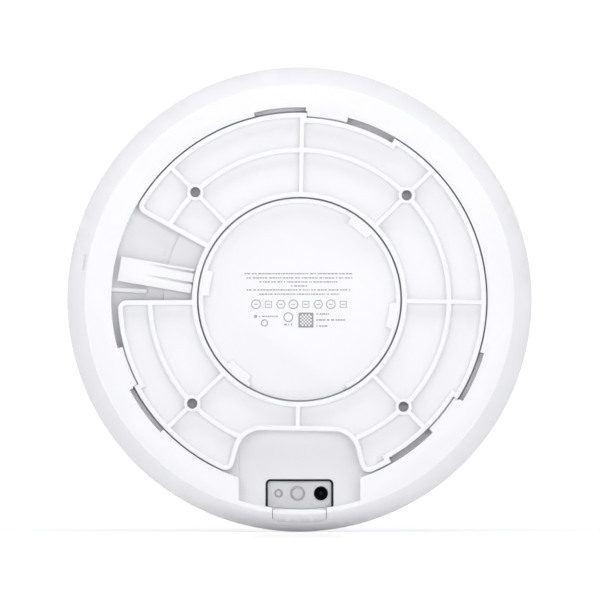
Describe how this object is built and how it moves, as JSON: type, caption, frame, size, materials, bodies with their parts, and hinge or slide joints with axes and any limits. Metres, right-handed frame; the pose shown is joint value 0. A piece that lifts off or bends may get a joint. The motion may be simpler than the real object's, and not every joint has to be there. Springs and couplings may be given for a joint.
{
  "type": "ceiling access point",
  "caption": "Round domed wireless access point with a twist-lock ceiling plate, release tongue, cable bay, snap-in notch cover and recessed connector panel.",
  "frame": {"origin": "centre of the mounting plate's back plane, where it meets the ceiling or wall", "axes": "+Y out of the mounting surface towards the domed front cover, +Z away from the cable bay, +X to the right seen from behind"},
  "size_m": [0.22, 0.048, 0.22],
  "materials": {
    "white_housing": "fine spark-eroded white polycarbonate",
    "white_plate": "satin white moulded plastic",
    "white_cover": "smooth satin white polycarbonate",
    "light_diffuser": "milky diffuser",
    "panel_plastic": "light grey moulded plastic",
    "button_plastic": "white moulded plastic",
    "black_plastic": "black moulded plastic",
    "bright_metal": "nickel-plated",
    "gold_contact": "gold-plated",
    "board": "green solder mask",
    "shield_metal": "tinned steel",
    "thermal_pad": "soft grey silicone",
    "aluminium": "stamped sheet",
    "ferrite": "dark ferrite and tape",
    "capacitor_can": "sleeved can",
    "screw_steel": "zinc-plated",
    "led_package": "clear resin"
  },
  "bodies": {
    "mounting_plate": {"mounting_plate": "white_plate"},
    "access_point": {"rear_housing": "white_housing", "io_panel": "panel_plastic", "reset_switch": "black_plastic", "function_switch": "black_plastic", "power_socket": "black_plastic", "power_socket_pin": "bright_metal", "network_socket_shield": "bright_metal", "network_socket_insert": "black_plastic", "network_socket_contacts": "gold_contact", "main_board": "board", "processor_shield": "shield_metal", "low_band_radio_shield": "shield_metal", "high_band_radio_shield": "shield_metal", "thermal_pads": "thermal_pad", "power_transformer": "ferrite", "smoothing_capacitors": "capacitor_can", "heat_spreader": "aluminium", "board_screws": "screw_steel", "antenna_upper_right": "shield_metal", "antenna_upper_left": "shield_metal", "antenna_lower_left": "shield_metal", "antenna_lower_right": "shield_metal", "light_board": "board", "light_sources": "led_package", "light_guide": "light_diffuser", "front_cover": "white_cover", "light_ring": "light_diffuser"},
    "release_tongue": {"release_tongue": "white_plate"},
    "reset_button": {"reset_button": "button_plastic"},
    "function_button": {"function_button": "button_plastic"},
    "port_cover": {"port_cover": "white_housing"}
  },
  "joints": [
    {"name": "bayonet_twist", "type": "hinge", "parent": "mounting_plate", "child": "access_point", "pos_m": [0, 0, 0], "axis": [0, 1, 0], "range_deg": [0, 14.5]},
    {"name": "tongue_flex", "type": "hinge", "parent": "mounting_plate", "child": "release_tongue", "pos_m": [-0.05047, 0.0036, 0.00863], "axis": [0.1685, 0, 0.9857], "range_deg": [0, 3], "stiffness_Nm_per_rad": 1.5},
    {"name": "reset_press", "type": "slide", "parent": "access_point", "child": "reset_button", "axis": [0, 1, 0], "range_m": [0, 0.0007], "stiffness_N_per_m": 500},
    {"name": "function_press", "type": "slide", "parent": "access_point", "child": "function_button", "axis": [0, 1, 0], "range_m": [0, 0.0007], "stiffness_N_per_m": 500},
    {"name": "cover_pull", "type": "slide", "parent": "access_point", "child": "port_cover", "axis": [0, 0, -1], "range_m": [0, 0.012]}
  ]
}
